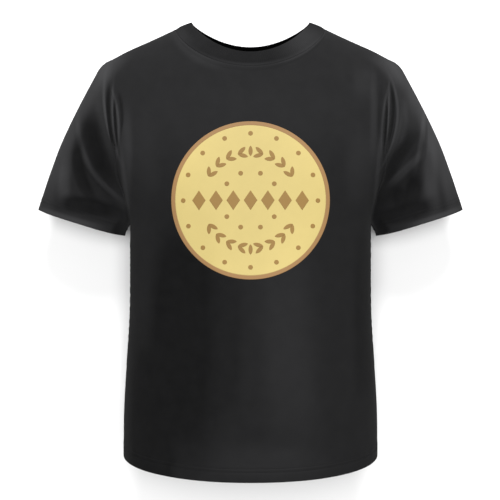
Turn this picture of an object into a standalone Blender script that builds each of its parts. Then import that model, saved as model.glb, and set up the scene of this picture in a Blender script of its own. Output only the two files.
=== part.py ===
"""A crew-neck T-shirt with short sleeves and a round print on the chest.

The shirt is filled out to its round form and lies on its back: X runs across the chest, Y from
the hem up to the neck, Z from the back to the front. The back panel is flat where it lies on the
ground, and the hem, neck and sleeves are open.
"""

import math

import bmesh
import bpy
import numpy as np

# Driving dimensions, in metres. Heights along Y count up from the lowest point of the front hem.
BODY_LENGTH = 0.692  # front hem to the top of the collar beside the neck
CHEST_HALF_WIDTH = 0.188
HEM_HALF_WIDTH = 0.198
HEM_FLARE = (0.060, 0.275)  # the sides widen towards the hem between these heights
CHEST_DEPTH = 0.204  # ground to the front of the chest
CHEST_SWELL = (0.430, 0.120)  # height of its fullest line, and how far the swell reaches
WAIST_DEPTH = 0.194
NECK_SLOPE = (0.500, 0.640)  # the front sinks towards the neck between these heights
NECK_SINK = 0.006
SIDE_SEAM_Z = 0.088  # the widest line of the body, where front and back panels meet
FRONT_ARCH = 2.3  # power of the front's arch across the body; 2 would be an ellipse
BACK_FLAT = 0.55  # share of the back's half width that lies flat on the ground
HEM_SIDE_RISE = 0.021  # the hem is this much higher at the side seams than at the front
HEM_BACK_RISE = 0.014  # and this much higher at the middle of the back
ARM_REACH = 0.070  # the body form widens by this much into the arm
ARM_HEIGHTS = (0.372, 0.580)  # between these heights
ARMPIT_HEIGHT = 0.448
SHOULDER_END = (0.216, 0.6366)  # where the shoulder seam meets the sleeve
SHOULDER_BOW = 0.0012  # the shoulder seam rises this much above a straight line
SHOULDER_BOW_LEAN = 2.2  # power that moves the highest place of that rise towards the sleeve
ARMHOLE_HOLLOW = 0.010  # how far the armhole curves in towards the chest
NECK_SIDE = (0.117, 0.6828)  # where the shoulder seam meets the collar
NECK_ROUNDING = 0.030  # softens the meeting of the two shoulder lines behind the collar
NECKLINE_FULLNESS = 4 / 3  # power of the neckline's curve; 1 would be an ellipse
NECK_DROP = {"front": 0.0717, "back": 0.038}  # collar seam below its own sides
COLLAR_SIDE = (0.091, 0.692, 0.096)  # inner edge of the collar beside the neck
COLLAR_DROP = {"front": 0.0575, "back": 0.023}
COLLAR_FULLNESS = {"front": 1.55, "back": 2.2}  # powers of its curves; 1 would be an ellipse
COLLAR_REACH = {"front": 0.062, "back": -0.068}  # of the inner edge along Z
SHOULDER_ROUNDING = {"front": 0.260, "back": 0.165}  # how far down the panel bends over
SLEEVE_LENGTHS = (0.0, 0.09, 0.16, 0.33, 0.475, 0.62, 0.80, 1.0)  # shares down the sleeve
SLEEVE_OUTER_X = (0.2166, 0.2340, 0.2400, 0.2655, 0.2876, 0.3072, 0.3243, 0.3405)  # its outside
SLEEVE_OUTER_HEIGHT = (0.6363, 0.6284, 0.6175, 0.5765, 0.5388, 0.5010, 0.4552, 0.4040)
SLEEVE_HEM_INNER = (0.1995, 0.362)
SLEEVE_LEAVES_BODY = 0.384  # below this height the inner line bends away from the body
SLEEVE_CLEARANCE = (0.0014, 0.005)  # from the body at the armpit, and more just below it
SLEEVE_HEM_Z = 0.0445  # height of the middle of the sleeve's opening
SLEEVE_HEM_DEPTH = 0.087
SLEEVE_FULLNESS = 0.85  # power of the round of the sleeve's opening; 1 would be an ellipse
SLEEVE_SETTLED = 0.75  # share of the sleeve by which it has taken the shape of its opening
SLEEVE_HEM_BOW = 0.0028  # the middle of the sleeve's hem sits this much further down the arm
SLEEVE_HEM_BOW_LEAN = 0.3  # share by which the half of that hem beside the body bows more
CLOTH = 0.002  # wall of the panels, hems and seams included
COLLAR_CLOTH = 0.0026  # the collar is folded double
COLLAR_WIDTH = 0.024
SEAM_GAP = 0.0012  # keeps sewn pieces apart, so that no two solids share space
COLLAR_GAP = 0.0016
ARMPIT_GAP = 0.0006
RIM_GAP = 0.0003
GROUND_GAP = 0.0008  # under the sleeves
PRINT_HEIGHT = 0.4105  # middle of the print
PRINT_RADIUS = (0.1163, 0.1150)  # across and along, seen from the front
PRINT_RIM = 0.0066
PRINT_FILM = 0.0005

# Fineness of the grids.
PANEL_COLUMNS = 12  # on each half
PANEL_ROWS = 30
SLEEVE_RINGS = 12
SLEEVE_SIDES = 24  # half of them match the panel's rows above the armpit
COLLAR_SIDES = 40
COLLAR_ROWS = 3
PRINT_SIDES = 40
PRINT_RINGS = 6
WELD = 0.00001  # the two ends of a closed sheet are merged within this distance

ARMPIT_ROW = 0.60  # share of a panel's rows that lie below the armpit
NECK_COLUMN = 0.50  # share of a half panel's columns that end at the collar

BLACK = (0.027, 0.027, 0.027, 1.0)
CREAM = (0.83, 0.66, 0.26, 1.0)
BROWN = (0.45, 0.26, 0.107, 1.0)
CLOTH_ROUGHNESS = 0.9
INK_ROUGHNESS = 0.6


def smooth_step(low, high, value):
    """0 below low, 1 above high, and a soft curve between."""
    share = min(1.0, max(0.0, (value - low) / (high - low)))
    return share * share * (3 - 2 * share)


def body_half_width(height):
    """Half width of the whole body form. Above the armpit it runs on into the sleeve."""
    flare = 1 - smooth_step(*HEM_FLARE, height)
    arm = smooth_step(*ARM_HEIGHTS, height)
    side = CHEST_HALF_WIDTH + (HEM_HALF_WIDTH - CHEST_HALF_WIDTH) * flare
    return side + ARM_REACH * arm


def panel_half_width(height):
    """Half width of a panel: the side seam below the armpit, the armhole above it."""
    if height <= ARMPIT_HEIGHT:
        return body_half_width(height)
    share = (height - ARMPIT_HEIGHT) / (SHOULDER_END[1] - ARMPIT_HEIGHT)
    straight = body_half_width(ARMPIT_HEIGHT) * (1 - share) + SHOULDER_END[0] * share
    return straight - ARMHOLE_HOLLOW * math.sin(math.pi * share) * (1 - share)


def shoulder_line(x):
    """Height of the shoulder ridge, which the collar cuts off beside the neck."""
    slope = (NECK_SIDE[1] - SHOULDER_END[1]) / (SHOULDER_END[0] - NECK_SIDE[0])
    beyond_neck = abs(x) - NECK_SIDE[0]
    if beyond_neck < 0:
        beyond_neck = math.hypot(x, NECK_ROUNDING) - math.hypot(NECK_SIDE[0], NECK_ROUNDING)
        return NECK_SIDE[1] - slope * beyond_neck
    share = min(1.0, beyond_neck / (SHOULDER_END[0] - NECK_SIDE[0]))
    bow = SHOULDER_BOW * math.sin(math.pi * share**SHOULDER_BOW_LEAN) ** 2
    return NECK_SIDE[1] - slope * beyond_neck + bow


def rounded(share):
    """A quarter circle from 0, where it is upright, to 1, where it is level."""
    return math.sqrt(1 - (1 - min(1.0, max(0.0, share))) ** 2)


def front_depth(height):
    """Depth of the body on its middle line: a full chest over a straighter waist."""
    chest = math.exp(-(((height - CHEST_SWELL[0]) / CHEST_SWELL[1]) ** 2))
    neck = smooth_step(*NECK_SLOPE, height)
    return WAIST_DEPTH + (CHEST_DEPTH - WAIST_DEPTH) * chest - NECK_SINK * neck


def surface_z(side, x, height):
    """Z of the outer surface of the front or back panel."""
    across = min(1.0, abs(x) / body_half_width(height))
    down = (shoulder_line(x) - height) / SHOULDER_ROUNDING[side]
    if side == "front":
        arch = math.sqrt(1 - across**FRONT_ARCH)
        return SIDE_SEAM_Z + (front_depth(height) - SIDE_SEAM_Z) * arch * rounded(down)
    arch = rounded(1 - max(0.0, across - BACK_FLAT) / (1 - BACK_FLAT))
    return SIDE_SEAM_Z * (1 - arch * rounded(down))


def collar_seam(side, angle):
    """X and height of the neckline, where angle 0 is the middle and a quarter turn the side."""
    drop = NECK_DROP[side] * abs(math.cos(angle)) ** NECKLINE_FULLNESS
    return NECK_SIDE[0] * math.sin(angle), NECK_SIDE[1] - drop


def panel_plan(side, u, v):
    """X and height of a panel's point: u runs from the middle line to the edge, v from the hem
    to the shoulder. The four edges are blended over the panel, as in a Coons patch."""
    hem_x = HEM_HALF_WIDTH * math.sin(math.pi / 2 * u)
    level = math.sqrt(1 - min(1.0, hem_x / HEM_HALF_WIDTH) ** 2)
    middle_rise = 0.0 if side == "front" else HEM_BACK_RISE
    hem_y = HEM_SIDE_RISE + (middle_rise - HEM_SIDE_RISE) * level
    if u <= NECK_COLUMN:
        top_x, top_y = collar_seam(side, math.pi / 2 * u / NECK_COLUMN)
    else:
        along = math.sin(math.pi / 2 * (u - NECK_COLUMN) / (1 - NECK_COLUMN))
        top_x = NECK_SIDE[0] + (SHOULDER_END[0] - NECK_SIDE[0]) * along
        top_y = shoulder_line(top_x)
    if v <= ARMPIT_ROW:
        edge_y = HEM_SIDE_RISE + (ARMPIT_HEIGHT - HEM_SIDE_RISE) * v / ARMPIT_ROW
    else:
        turn = math.pi * (v - ARMPIT_ROW) / (1 - ARMPIT_ROW)
        edge_y = ARMPIT_HEIGHT + (SHOULDER_END[1] - ARMPIT_HEIGHT) * (1 - math.cos(turn)) / 2
    edge_x = panel_half_width(edge_y)
    even_x = HEM_HALF_WIDTH * (1 - v) + SHOULDER_END[0] * v
    even_y = HEM_SIDE_RISE * (1 - v) + SHOULDER_END[1] * v
    x = hem_x * (1 - v) + top_x * v + (edge_x - even_x) * u
    y = hem_y * (1 - v) + top_y * v + (edge_y - even_y)
    return x, y


def on_panel(side, x, height, lift=0.0):
    """A point of a panel's outer surface, which keeps half the side seam's gap along Z."""
    gap = SEAM_GAP / 2 if side == "front" else -SEAM_GAP / 2
    return np.array([x, height, max(0.0, surface_z(side, x, height) + gap) + lift])


def armhole_point(turn):
    """The panels' armhole edge: turn 0 is the shoulder, 0.5 the armpit, and the front comes
    between them."""
    share = 2 * turn if turn <= 0.5 else 2 * (1 - turn)
    side = "front" if turn <= 0.5 else "back"
    return on_panel(side, *panel_plan(side, 1.0, 1 - (1 - ARMPIT_ROW) * share))


def sleeve_outer(s):
    """The fold line along the outside of the sleeve: over the shoulder, then down the arm."""
    x = np.interp(s, SLEEVE_LENGTHS, SLEEVE_OUTER_X)
    return x, np.interp(s, SLEEVE_LENGTHS, SLEEVE_OUTER_HEIGHT)


def sleeve_inner(s):
    """The line under the arm: down beside the body, and away from it at the hem."""
    start = ARMPIT_HEIGHT - ARMPIT_GAP
    height = start - (start - SLEEVE_HEM_INNER[1]) * s
    clearance = SLEEVE_CLEARANCE[0] + SLEEVE_CLEARANCE[1] * smooth_step(0.0, 0.2, s)
    beside = body_half_width(height) + clearance
    bend = smooth_step(SLEEVE_LEAVES_BODY, SLEEVE_HEM_INNER[1], height)
    away = (SLEEVE_HEM_INNER[0] - beside) * bend
    return beside + away, height


def sleeve_point(s, turn):
    """A point of the sleeve: a ring between its outer and inner lines, which changes from the
    armhole's shape to a flattened ellipse at the hem."""
    top, pit = armhole_point(0.0), armhole_point(0.5)
    start_mid, start_half = (top + pit) / 2, (top - pit) / 2
    start_reach = np.hypot(*start_half[:2])
    along = start_half[:2] / start_reach
    aside = np.array([along[1], -along[0]])
    edge = armhole_point(turn) - start_mid
    shape = smooth_step(0.0, SLEEVE_SETTLED, s)
    p = (edge[:2] @ along / start_reach) * (1 - shape) + math.cos(2 * math.pi * turn) * shape
    out_of_plane = (edge[:2] @ aside) * (1 - shape)
    outer, inner = np.array(sleeve_outer(s)), np.array(sleeve_inner(s))
    mid, half = (outer + inner) / 2, (outer - inner) / 2
    reach = np.hypot(*half)
    across = half / reach
    turned = np.array([across[1], -across[0]])
    bow = SLEEVE_HEM_BOW * s * s * (1 - p**4) * (1 - SLEEVE_HEM_BOW_LEAN * p)
    x, y = mid + reach * p * across + (out_of_plane + bow) * turned
    sine = math.sin(2 * math.pi * turn)
    hem_z = SLEEVE_HEM_Z + SLEEVE_HEM_DEPTH / 2 * math.copysign(abs(sine) ** SLEEVE_FULLNESS, sine)
    z = (edge[2] + start_mid[2]) * (1 - shape) + hem_z * shape
    return np.array([x, y, max(GROUND_GAP, z)])


def collar_point(w, turn):
    """A point of the collar band, from its seam at w 0 to its folded edge at w 1."""
    angle = 2 * math.pi * turn
    side = "front" if math.cos(angle) >= 0 else "back"
    seam = on_panel(side, *collar_seam(side, angle))
    level = abs(math.cos(angle))
    edge = np.array(
        [
            COLLAR_SIDE[0] * math.sin(angle),
            COLLAR_SIDE[1] - COLLAR_DROP[side] * level ** COLLAR_FULLNESS[side],
            COLLAR_SIDE[2] + COLLAR_REACH[side] * level,
        ]
    )
    return seam * (1 - w) + edge * w


def print_point(r, turn, lift):
    """A point of the print, r from its middle to its edge, lifted off the front panel."""
    angle = 2 * math.pi * turn
    x = PRINT_RADIUS[0] * r * math.cos(angle)
    height = PRINT_HEIGHT + PRINT_RADIUS[1] * r * math.sin(angle)
    return on_panel("front", x, height, lift)


def material(name, colour, roughness):
    made = bpy.data.materials.new(name)
    made.use_nodes = True
    shader = made.node_tree.nodes["Principled BSDF"]
    shader.inputs["Base Color"].default_value = colour
    shader.inputs["Roughness"].default_value = roughness
    return made


def grid_object(name, columns, rows, point, finish, closes=False):
    """A sheet bent from a flat grid: point(i, j) takes shares of the columns and rows."""
    bm = bmesh.new()
    bmesh.ops.create_grid(bm, x_segments=columns, y_segments=rows, size=1)
    for vert in bm.verts:
        i, j = (vert.co.x + 1) / 2, (vert.co.y + 1) / 2
        x, height, z = point(round(i * columns) / columns, round(j * rows) / rows)
        vert.co = (x, height - BODY_LENGTH / 2, z)
    if closes:
        bmesh.ops.remove_doubles(bm, verts=bm.verts, dist=WELD)
    mesh = bpy.data.meshes.new(name)
    bm.to_mesh(mesh)
    bm.free()
    mesh.shade_smooth()
    mesh.materials.append(finish)
    made = bpy.data.objects.new(name, mesh)
    shirt.objects.link(made)
    return made


def give_thickness(sheet, thickness, outwards=False):
    solidify = sheet.modifiers.new("Cloth", "SOLIDIFY")
    solidify.thickness = thickness
    solidify.offset = 1 if outwards else -1
    solidify.use_even_offset = True


def mirror_across_middle(half):
    mirror = half.modifiers.new("Other half", "MIRROR")
    mirror.use_axis = (True, False, False)
    mirror.merge_threshold = WELD


def flip(sheet):
    """Turns a sheet's faces over, so that they point out of the shirt."""
    sheet.data.flip_normals()


def make_panels(jersey):
    for side in ("front", "back"):
        panel = grid_object(
            side + "_panel",
            PANEL_COLUMNS,
            PANEL_ROWS,
            lambda i, j, side=side: on_panel(side, *panel_plan(side, i, j)),
            jersey,
        )
        if side == "back":
            flip(panel)
        mirror_across_middle(panel)
        give_thickness(panel, CLOTH)


def make_sleeves(jersey):
    for name, hand in (("sleeve_right", 1), ("sleeve_left", -1)):
        sleeve = grid_object(
            name,
            SLEEVE_SIDES,
            SLEEVE_RINGS,
            lambda i, j, hand=hand: sleeve_point(j, i) * (hand, 1, 1),
            jersey,
            closes=True,
        )
        if hand == -1:
            flip(sleeve)
        give_thickness(sleeve, CLOTH)


def make_collar(rib):
    start = COLLAR_GAP / COLLAR_WIDTH  # a share of the band's width is left free at the seam
    collar = grid_object(
        "collar",
        COLLAR_SIDES,
        COLLAR_ROWS,
        lambda i, j: collar_point(start + (1 - start) * j, i),
        rib,
        closes=True,
    )
    give_thickness(collar, COLLAR_CLOTH)


def make_print(cream, brown):
    """A round field of colour with a darker rim round it, as thin films on the front panel."""
    field_edge = 1 - PRINT_RIM / PRINT_RADIUS[0]
    rim_start = field_edge + RIM_GAP / PRINT_RADIUS[0]
    field = grid_object(
        "print_field",
        PRINT_SIDES,
        PRINT_RINGS,
        lambda i, j: print_point(field_edge * j, i, PRINT_FILM),
        cream,
        closes=True,
    )
    rim = grid_object(
        "print_rim",
        PRINT_SIDES,
        1,
        lambda i, j: print_point(rim_start + (1 - rim_start) * j, i, PRINT_FILM),
        brown,
        closes=True,
    )
    for film in (field, rim):
        flip(film)
        give_thickness(film, PRINT_FILM, outwards=True)


for left_over in list(bpy.data.objects):
    bpy.data.objects.remove(left_over, do_unlink=True)

shirt = bpy.data.collections.new("T-shirt")
bpy.context.scene.collection.children.link(shirt)

black_jersey = material("Black cotton jersey", BLACK, CLOTH_ROUGHNESS)
black_rib = material("Black cotton rib", BLACK, CLOTH_ROUGHNESS)
cream_ink = material("Cream print ink", CREAM, INK_ROUGHNESS)
brown_ink = material("Brown print ink", BROWN, INK_ROUGHNESS)

make_panels(black_jersey)
make_sleeves(black_jersey)
make_collar(black_rib)
make_print(cream_ink, brown_ink)
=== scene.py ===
"""A black crew-neck T-shirt with a round chest print, lying on its back and filled out.

Laid out as an add-on: the sizes and colours are scene properties, each group of pieces has its
own operator, and the panel in the sidebar lists them. X runs across the chest, Y from the hem up
to the neck, Z from the back to the front, all in metres.
"""

from collections import namedtuple

import bpy
import numpy as np
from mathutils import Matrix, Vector


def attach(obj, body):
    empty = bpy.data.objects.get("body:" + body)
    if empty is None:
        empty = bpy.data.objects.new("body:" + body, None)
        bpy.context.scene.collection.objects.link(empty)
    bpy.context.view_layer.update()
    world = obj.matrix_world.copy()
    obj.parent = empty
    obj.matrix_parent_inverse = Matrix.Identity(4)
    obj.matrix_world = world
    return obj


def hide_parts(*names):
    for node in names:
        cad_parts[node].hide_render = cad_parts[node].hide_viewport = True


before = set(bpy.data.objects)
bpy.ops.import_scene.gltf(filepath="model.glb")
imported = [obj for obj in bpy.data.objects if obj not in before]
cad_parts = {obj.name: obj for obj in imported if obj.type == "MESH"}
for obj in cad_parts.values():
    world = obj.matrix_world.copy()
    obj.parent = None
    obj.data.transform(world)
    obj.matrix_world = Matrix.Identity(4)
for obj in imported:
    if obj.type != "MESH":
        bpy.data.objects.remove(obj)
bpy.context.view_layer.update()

bl_info = {
    "name": "T-shirt",
    "version": (1, 0, 0),
    "blender": (4, 5, 0),
    "location": "View3D > Sidebar > T-shirt",
    "description": "Dresses a T-shirt's frame with cloth, seams, stitching and a print",
    "category": "Add Mesh",
}

# The form that the frame's pieces have, in metres. Heights count up from the lowest point of the
# front hem. A slope has the heights at which it starts and ends, and a place its X and height,
# with its Z after them where that counts.
BODY_LENGTH = 0.692
CHEST_HALF_WIDTH = 0.188
HEM_HALF_WIDTH = 0.198
HEM_FLARE = (0.060, 0.275)
CHEST_DEPTH = 0.204
CHEST_SWELL = (0.430, 0.120)  # height of its fullest line, and how far the swell reaches
WAIST_DEPTH = 0.194
NECK_SLOPE = (0.50, 0.64)
NECK_SINK = 0.006
SIDE_SEAM_Z = 0.088
FRONT_ARCH = 2.3  # power of the front's arch across the body; 2 would be an ellipse
BACK_FLAT = 0.55  # share of the back's half width that lies flat
HEM_SIDE_RISE = 0.021
HEM_BACK_RISE = 0.014
ARM_REACH = 0.070  # the body form widens by this much into the arm
ARM_HEIGHTS = (0.372, 0.580)
ARMPIT_HEIGHT = 0.448
SHOULDER_END = (0.216, 0.6366)
SHOULDER_BOW = 0.0012
SHOULDER_BOW_LEAN = 2.2
ARMHOLE_HOLLOW = 0.010
NECK_SIDE = (0.117, 0.6828)
NECK_ROUNDING = 0.030
NECKLINE_FULLNESS = 4 / 3  # power of the neckline's curve; 1 would be an ellipse
NECK_DROP = {"front": 0.0717, "back": 0.038}
COLLAR_SIDE = (0.091, 0.692, 0.096)
COLLAR_DROP = {"front": 0.0575, "back": 0.023}
COLLAR_FULLNESS = {"front": 1.55, "back": 2.2}
COLLAR_REACH = {"front": 0.062, "back": -0.068}
COLLAR_WIDTH = 0.0245
SHOULDER_ROUNDING = {"front": 0.260, "back": 0.165}
SLEEVE_LENGTHS = (0.0, 0.09, 0.16, 0.33, 0.475, 0.62, 0.80, 1.0)  # shares down the sleeve
SLEEVE_OUTER_X = (SHOULDER_END[0], 0.2340, 0.2400, 0.2655, 0.2876, 0.3072, 0.3243, 0.3405)
SLEEVE_OUTER_HEIGHT = (SHOULDER_END[1], 0.6284, 0.6175, 0.5765, 0.5388, 0.5010, 0.4552, 0.4040)
SLEEVE_OUTER_SOFT = 0.06  # its corners are averaged over this share to both sides
SLEEVE_HEM_INNER = (0.1995, 0.362)
SLEEVE_LEAVES_BODY = 0.384
SLEEVE_TUCK = 0.0035  # its inner line slips this far in behind the side of the body
SLEEVE_REST = 0.0225  # and rests this far above the side seam
SLEEVE_TUCKED = 0.25  # share of the sleeve by which it does so
SLEEVE_THINNED = 0.9  # share of its front's height that is gone beside the body
SLEEVE_HEM_Z = 0.0445
SLEEVE_HEM_DEPTH = 0.087
SLEEVE_FULLNESS = 0.85  # power of the round of its opening; 1 would be an ellipse
SLEEVE_SETTLED = 0.75  # share of the sleeve by which it has taken the shape of its opening
SLEEVE_HEM_BOW = 0.0028
SLEEVE_HEM_BOW_LEAN = 0.3
GROUND_GAP = 0.0008
PRINT_MIDDLE = 0.4105 - BODY_LENGTH / 2  # along Y
PRINT_RADIUS = (0.1163, 0.1150)

# Shares of the way up a panel at which its hem's rows end, its armhole starts and the rows beside
# the shoulder start, and the share of the way to its side at which its neckline ends.
HEM_V = 0.040
ARMPIT_V = 0.60
SHOULDER_V = 0.97
NECK_U = 0.50

# Fineness of the grids: columns, and rows from each share of the way up to the next. A panel's
# shares are those above, and a sleeve has its own.
PANEL_COLUMNS = 168
PANEL_ROWS = (19, 102, 68, 14)
SLEEVE_SHARES = (0, 0.155, 0.97, 1)
SLEEVE_ROWS = (18, 95, 9)
HEM_BEND_ROWS = 5
COLLAR_ROWS = 14
COLLAR_BEND_ROWS = 7
COLLAR_RIB_COLUMNS = 5  # for each rib
COLLAR_MEASURE = 400  # points by which the way round its edge is measured
STITCH_RINGS = 6
STITCH_ROUND = 7  # points round a stitch, the first of them twice, and so below
WELT_ROUND = 17
RIM_ROUND = 241

# Small forms of the sewing, in metres. A groove or pucker has its breadth and its depth or height,
# and a slope the distances at which it starts and ends.
SEAM_BREADTH = 0.0018
STITCH_INSET = 0.002  # from the upper end of a hem to its upper row of stitches
STITCH_GROOVE = (0.0012, 0.0006)
STITCH_HALF = 0.40  # half a stitch, as a share of the pitch
STITCH_HIGH = 0.35  # how high its middle stands, in thicknesses of the thread
STITCH_DIVE = 0.75  # and how much lower its ends are
STITCH_BLUNT = 0.02  # share of its section that is left at the ends
STITCH_AIM = 0.0005  # it points along the line from this far behind to this far ahead
HEM_PUCKER = (0.009, 0.00025)
PUCKER_WAVES = (0.0031, 0.0173)  # its two waves are 2 pi times as long
HEM_PROUD = 0.0004
HEM_PROUD_END = (0.004, -0.001)  # slope, from the upper row of stitches
HEM_AIR = 0.0002  # between the two layers of a hem
NECK_ROLL = 0.0006  # height of the seam that is rolled over below the collar
NECK_ROLL_START = (0.0, 0.003)  # slopes, from the collar
NECK_ROLL_END = (0.009, 0.005)
NECK_ROLL_SIDE = (0.125, 0.110)  # slope, from the middle line
PANEL_OFF_FLOOR = (0.0, 0.004)  # slopes over which the forms start above the floor
SLEEVE_OFF_FLOOR = (-0.001, 0.003)
WELT_HALF = 0.0009  # half its thickness
WELT_SINK = 0.0045  # from the cloth's inner side to its middle
WELT_FULLNESS = 0.7  # power of its section; 1 would be an ellipse
COLLAR_HALF = 0.0012  # half the thickness of the folded band
COLLAR_SUNK = 0.25  # share of that half that its outer layer lies below the middle at the seam
COLLAR_RISE = (-0.02, 0.35)  # slope up from there, in shares of its width
COLLAR_DOME = 0.0004
RIB_HEIGHT = 0.00018

# Seams sink in towards a flat core at the height of the side seams, of this share of the shirt's
# breadth and up to this Y.
CORE_BREADTH = 0.6
CORE_TOP = 0.200

# The print's motifs, as shares of its radius: the radii of their rings, how far an ear's grains
# stand off its line, half the length of the row of lozenges, and half the motifs' own sizes. The
# face of a film stands off the cloth by a share of the film's thickness.
DOT_RINGS = (0.845, 0.36)
DOT_SIZE = (0.030, 0.030)
EAR_RING = 0.60
EAR_HALF = 0.062
UPRIGHT_RING = 0.62
GRAIN_SIZE = (0.066, 0.026)
LOZENGE_ROW = 0.645
LOZENGE_SIZE = (0.085, 0.125)
FILM_LIFTS = {"field": 0.6, "rim": 0.7, "motifs": 0.8}

# Folds start over this height above the line between front and back, and the painted shade of a
# hollow ends as steeply as this.
FOLD_EDGE = 0.022
PAINTED_SHADE_EDGE = 1.6

# A fold is a ridge along an arc seen from the front, or a groove where its height is below zero.
# Its ends, bow, half width and height are in millimetres, and it fades out towards both ends. Its
# tone is painted light on the cloth: a painted highlight above zero and painted shade below zero. A
# fold of height zero is only painted light.
Fold = namedtuple("Fold", "start end bow width height tone")
FOLDS = {
    "left armhole": {
        "ridge, outer": ((-225, 247), (-200, 132), -7, 2.6, 2.4, 3.8),
        "groove, outer": ((-217, 240), (-207, 147), -3, 3.3, -3.2, -1),
        "ridge, middle": ((-210, 243), (-201, 137), -3, 2, 2, 2.6),
        "groove, middle": ((-206, 214), (-200, 148), -1, 2, -2.4, -1),
        "ridge, inner": ((-210, 233), (-201, 139), 6, 2.1, 2, 3),
        "groove, inner": ((-200, 229), (-194, 173), 3, 2.6, -1.4, -0.8),
        "underarm ridge": ((-198, 155), (-187, 57), 0, 3.9, 1.6, 1.8),
    },
    "left sleeve": {
        "hollow": ((-247, 192), (-221, 97), -2, 16.3, -6, -0.5),
        "hollow, deepest": ((-254, 193), (-233, 114), 0, 12.4, 0, -0.8),
        "diagonal ridge": ((-272, 200), (-197, 67), -20, 4.7, 2, 2),
        "side hollow": ((-271, 158), (-249, 71), -8, 9.4, -3, -0.9),
        "light streak": ((-290, 131), (-292, 60), -3, 10.2, 1.6, 2.1),
        "hollow above the hem": ((-296, 66), (-219, 52), 2, 12.6, -3, -1),
        "hollow at the corner": ((-237, 55), (-199, 46), 2, 7.9, -1, -0.2),
        "hem, painted highlight": ((-345, 60), (-235, 27), -2, 6.6, 0, 2.9),
        "outer edge, painted highlight": ((-223, 296), (-329, 72), -11, 22.7, 0, 3.4),
        "above, painted highlight": ((-226, 287), (-249, 197), 4, 13.9, 0, 1.1),
        "beside the armhole, painted highlight": ((-233, 226), (-206, 123), -3, 9.2, 0, 1.8),
        "lighter corner": ((-216, 92), (-189, 57), -2, 10.1, 0, 1),
    },
    "right armhole": {
        "ridge, outer": ((217, 250), (200, 120), 15, 2.4, 2.4, 3),
        "ridge, second": ((231, 195), (203, 114), 4, 2.3, 1.2, 1),
        "groove, outer": ((216, 240), (208, 155), 4, 2.9, -3.2, -1),
        "ridge, middle": ((212, 243), (204, 144), 0, 2, 2, 2.8),
        "groove, middle": ((207, 214), (202, 148), 0, 2, -2.4, -1),
        "ridge, inner": ((209, 236), (198, 131), -5, 2, 2, 2.1),
        "groove, inner": ((199, 239), (194, 158), -1, 3.6, -1.4, -0.3),
        "underarm ridge": ((195, 158), (190, 60), 0, 3.8, 1.6, 1.9),
    },
    "right sleeve": {
        "slanting hollow": ((249, 162), (208, 101), -1, 9.9, -4, -0.6),
        "slanting ridge": ((268, 141), (213, 89), 0, 6.8, 1.6, 1.7),
        "lower hollow": ((257, 108), (251, 52), 1, 11.9, -3, -0.9),
        "streak": ((274, 210), (258, 120), 1, 4.1, 1.8, 1.9),
        "streak groove": ((277, 191), (272, 133), 1, 2.2, -1, -0.3),
        "outer ridge": ((282, 168), (288, 52), -2, 12.4, 2, 2.5),
        "corner hollow": ((212, 95), (204, 14), 1, 14.9, -2, -0.4),
        "hollow above the hem": ((198, 41), (282, 63), -3, 12.6, -2, -0.9),
        "hem, painted highlight": ((340, 60), (253, 30), 1, 6, 0, 3.2),
        "outer edge, painted highlight": ((221, 296), (316, 97), 10, 19.7, 0, 4.1),
        "corner, painted highlight": ((310, 116), (323, 52), -1, 11.1, 0, 1.1),
        "beside the armhole, painted highlight": ((230, 235), (223, 146), 7, 9.2, 0, 1.7),
        "above, painted highlight": ((244, 228), (252, 179), -3, 10, 0, 1.2),
        "inner hollow": ((230, 89), (236, 49), 3, 11, -1, -0.8),
    },
    "shoulders": {
        "left, painted highlight": ((-193, 294), (-233, 239), -7, 13.9, 0, 1.6),
        "right, painted highlight": ((191, 294), (231, 239), 7, 13.9, 0, 1.8),
    },
    "chest": {
        "beside the collar, left": ((-118, 331), (-44, 264), -11, 9, 0, 0.9),
        "beside the collar, right": ((116, 331), (40, 270), 11, 2.4, 0, 0.9),
        "edge, left": ((-189, 200), (-193, 55), 5, 9, 0.8, 1.8),
        "edge, right": ((188, 261), (184, 127), -1, 5.4, 1, 1.1),
        "side, left": ((-165, 186), (-161, 61), 2, 25.2, 0, 0.6),
        "side, right": ((172, 165), (164, 61), -1, 25.3, 0, 0.9),
        "broad": ((-183, 175), (181, 175), 10, 49.5, 0, 0.2),
        "below the right shoulder": ((170, 272), (170, 220), 0, 16.6, 0, 0.7),
    },
    "body": {
        "hollow, left of the middle": ((-99, 22), (-107, -305), 0, 45.8, -8, -1),
        "hollow, its soft side": ((-50, -25), (-56, -267), 3, 36.5, 0, -0.5),
        "hollow, low on the left": ((-151, -145), (-148, -399), 1, 35.8, -1, -0.9),
        "ridge, right of the middle": ((53, -8), (68, -302), -5, 39.3, 4, 0.8),
        "side, left": ((-178, 15), (-183, -153), -2, 15.4, 0, -0.3),
        "side, right": ((178, 32), (177, -217), 1, 21.4, 0, -0.6),
        "hem, middle": ((-53, -320), (102, -322), 3, 24.8, 0, 0.7),
    },
}

# Painted light on the collar's outside, as on the folds: painted shade over all of it, then patches
# of painted highlight and painted shade, each with where round it, from 0 at the front by 0.25 at
# the right, how far to both sides, how far up from the seam as a share of its height, and the tone.
COLLAR_TONE = -0.5
COLLAR_TONES = (
    (0.0, 0.07, 9.0, -0.25),
    (0.0, 0.12, 0.25, 1.2),
    (0.145, 0.055, 9.0, 1.7),
    (0.17, 0.06, 0.15, 0.5),
    (-0.185, 0.05, 0.7, 0.9),
)

# The tones of the deepest painted shade, as inside the collar, and of the brightest painted
# highlight.
DEEPEST_PAINTED_SHADE = -2.0
BRIGHTEST_PAINTED_HIGHLIGHT = 6.3

# Painted shade on the ink, which evens out the lamps' light on the print: how much of its colour
# the ink keeps where that shade is deepest, how much of it lies at the print's middle, and what the
# print's top and sides add to that.
INK_IN_PAINTED_SHADE = 0.73
INK_PAINTED_SHADE = 0.33
INK_PAINTED_SHADE_AT_TOP = 0.40
INK_PAINTED_SHADE_AT_SIDES = -0.55

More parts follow.
